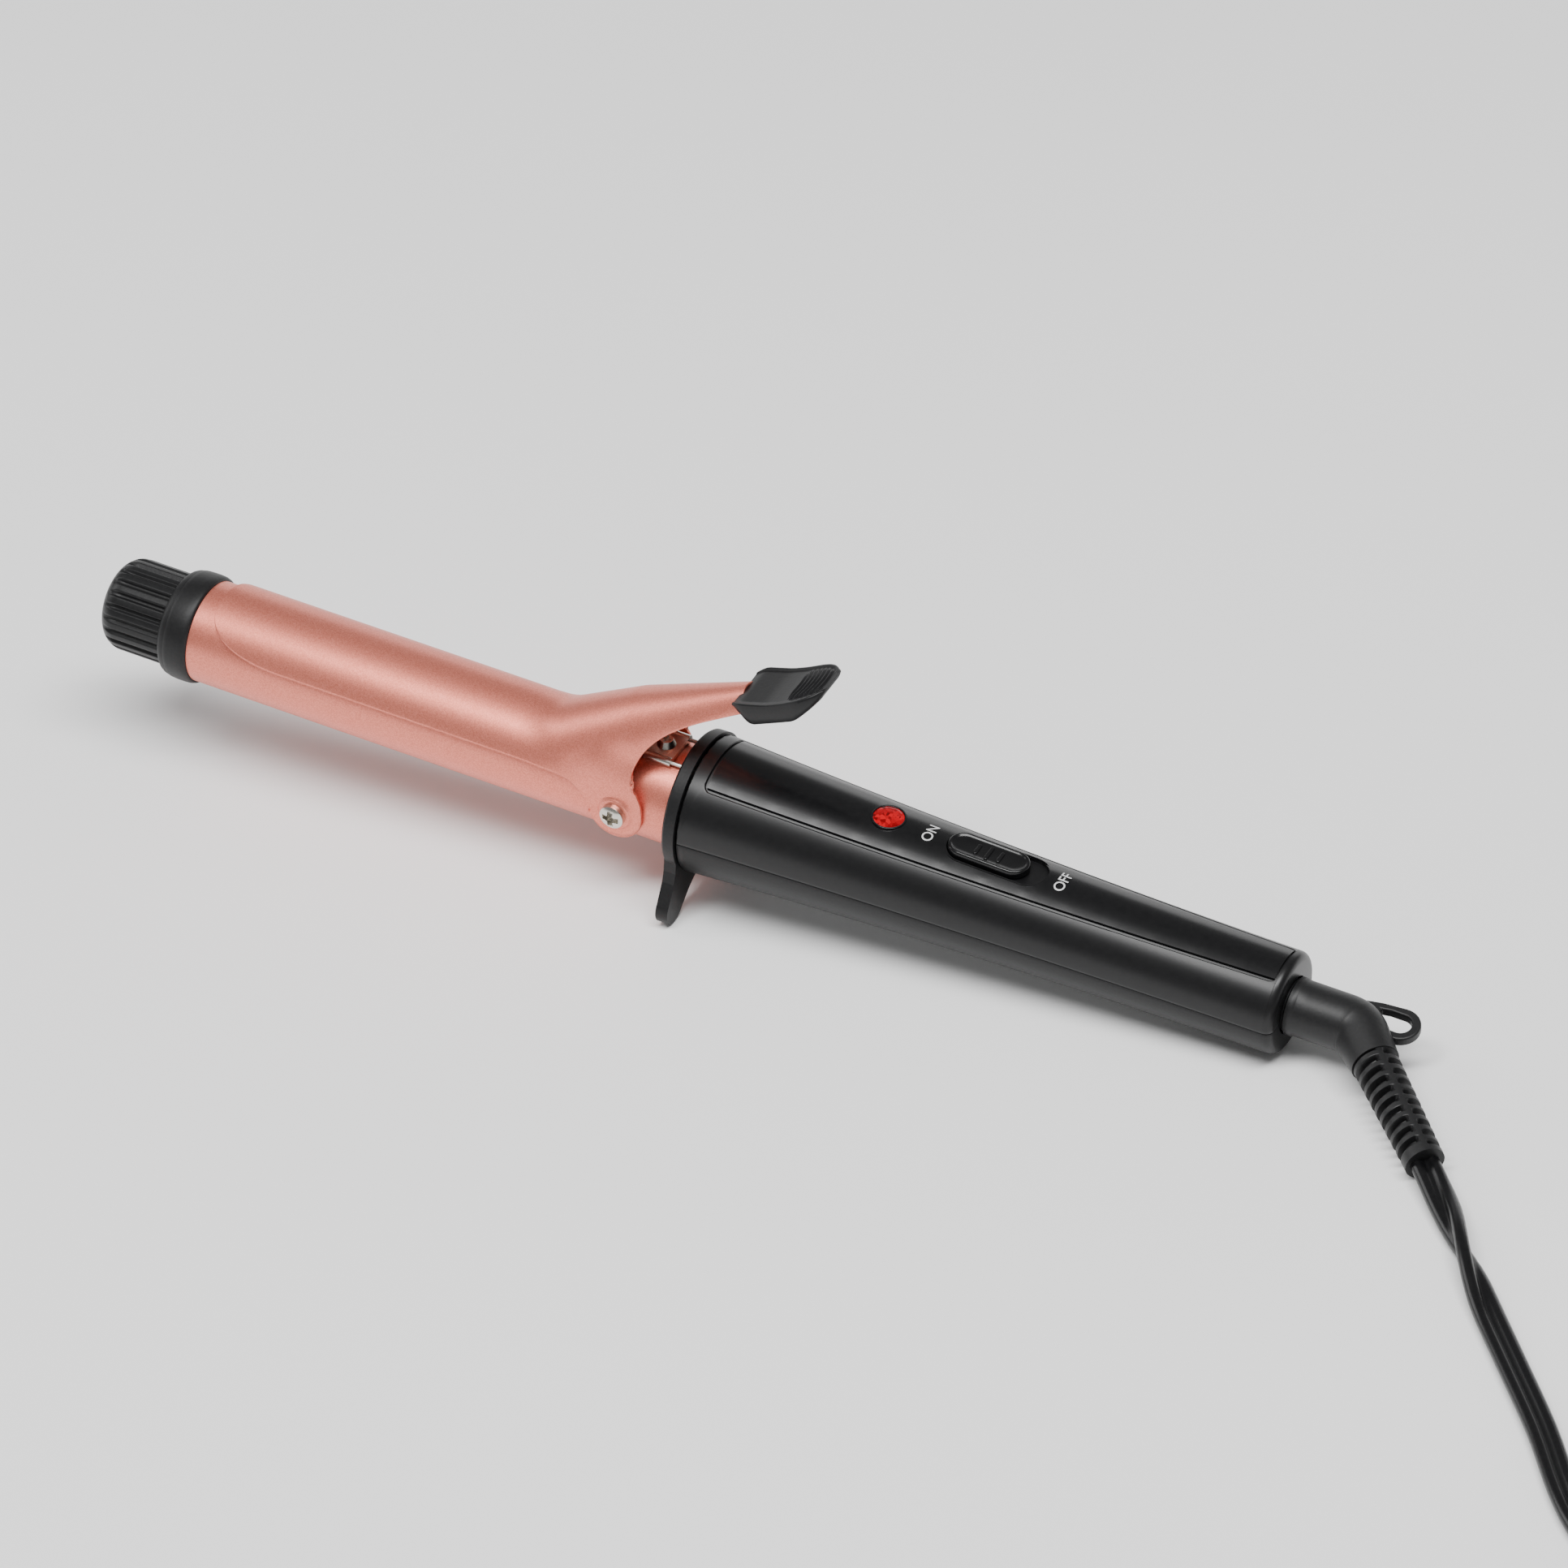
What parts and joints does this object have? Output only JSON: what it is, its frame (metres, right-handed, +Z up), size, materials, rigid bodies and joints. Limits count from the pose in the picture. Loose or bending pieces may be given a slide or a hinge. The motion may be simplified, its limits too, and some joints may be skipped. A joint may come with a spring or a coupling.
{
  "type": "curling iron",
  "caption": "Curling iron with a metal barrel, sprung hair clamp, tapered handle with slide switch and lamp, twin-leg table rest and swivel cord with plug.",
  "frame": {"origin": "on the table, below the middle of the iron's length, in the iron's vertical middle plane", "axes": "+X from the cool tip towards the cord end, +Z up from the table; the iron lies on its two legs and the rear end of its handle, tilted 4.7 degrees"},
  "size_m": [0.5378, 0.1594, 0.0714],
  "materials": {
    "dark_plastic": "fine satin black",
    "charcoal_plastic": "matte charcoal",
    "nickel": "bright nickel plate",
    "rose_gold": "metallic rose-gold with a fine flake, satin",
    "heat_aluminium": "as extruded",
    "ceramic": "fired ceramic",
    "lead_sleeve": "woven glass sleeve",
    "bush_plastic": "heat-proof moulding",
    "spring_steel": "plated spring wire",
    "grip_plastic": "matte black",
    "handle_gloss": "semi-gloss black",
    "panel_gloss": "gloss black",
    "lamp_red": "moulded red lens, lit",
    "lamp_glass": "small neon lamp",
    "button_plastic": "satin black",
    "board": "glass-fibre board",
    "contact_brass": "plain brass",
    "cord_moulding": "soft matte black moulding",
    "cord_sheath": "satin black two-core sheath"
  },
  "bodies": {
    "handle": {"cool_tip": "dark_plastic", "tip_collar": "charcoal_plastic", "tip_screw": "nickel", "barrel": "rose_gold", "heat_spreader_upper": "heat_aluminium", "heat_spreader_lower": "heat_aluminium", "heater_plate": "ceramic", "thermal_fuse": "ceramic", "heater_leads": "lead_sleeve", "barrel_bush": "bush_plastic", "front_collar": "charcoal_plastic", "pivot_nuts": "nickel", "pivot_screws": "nickel", "spring_bracket": "nickel", "bracket_screw": "nickel", "clamp_spring": "spring_steel", "handle_upper": "handle_gloss", "handle_lower": "charcoal_plastic", "control_panel": "panel_gloss", "indicator_lens": "lamp_red", "indicator_lamp": "lamp_glass", "switch_body": "bush_plastic", "circuit_board": "board", "supply_leads": "lead_sleeve", "handle_screws": "nickel", "swivel_bush": "bush_plastic", "swivel_contacts": "contact_brass"},
    "clamp": {"clamp": "rose_gold", "thumb_rest": "grip_plastic"},
    "button": {"switch_button": "button_plastic"},
    "swivel": {"cord_elbow": "cord_moulding", "slip_rings": "contact_brass", "power_cord": "cord_sheath", "cord_coil": "cord_sheath", "cord_tie": "cord_moulding", "plug_body": "cord_moulding", "plug_pins": "nickel"}
  },
  "joints": [
    {"name": "clamp_pivot", "type": "hinge", "parent": "handle", "child": "clamp", "pos_m": [-0.01286, 0, 0.02581], "axis": [0, 1, 0], "range_deg": [0, 16], "stiffness_Nm_per_rad": 0.25, "springref_deg": -20.05, "deforming": ["clamp_spring"]},
    {"name": "switch_slide", "type": "slide", "parent": "handle", "child": "button", "axis": [0.9937, 0, -0.1122], "range_m": [0, 0.0044]},
    {"name": "cord_swivel", "type": "hinge", "parent": "handle", "child": "swivel", "pos_m": [0.16962, 0, 0.01083], "axis": [0.9966, 0, -0.0819], "continuous": true}
  ]
}
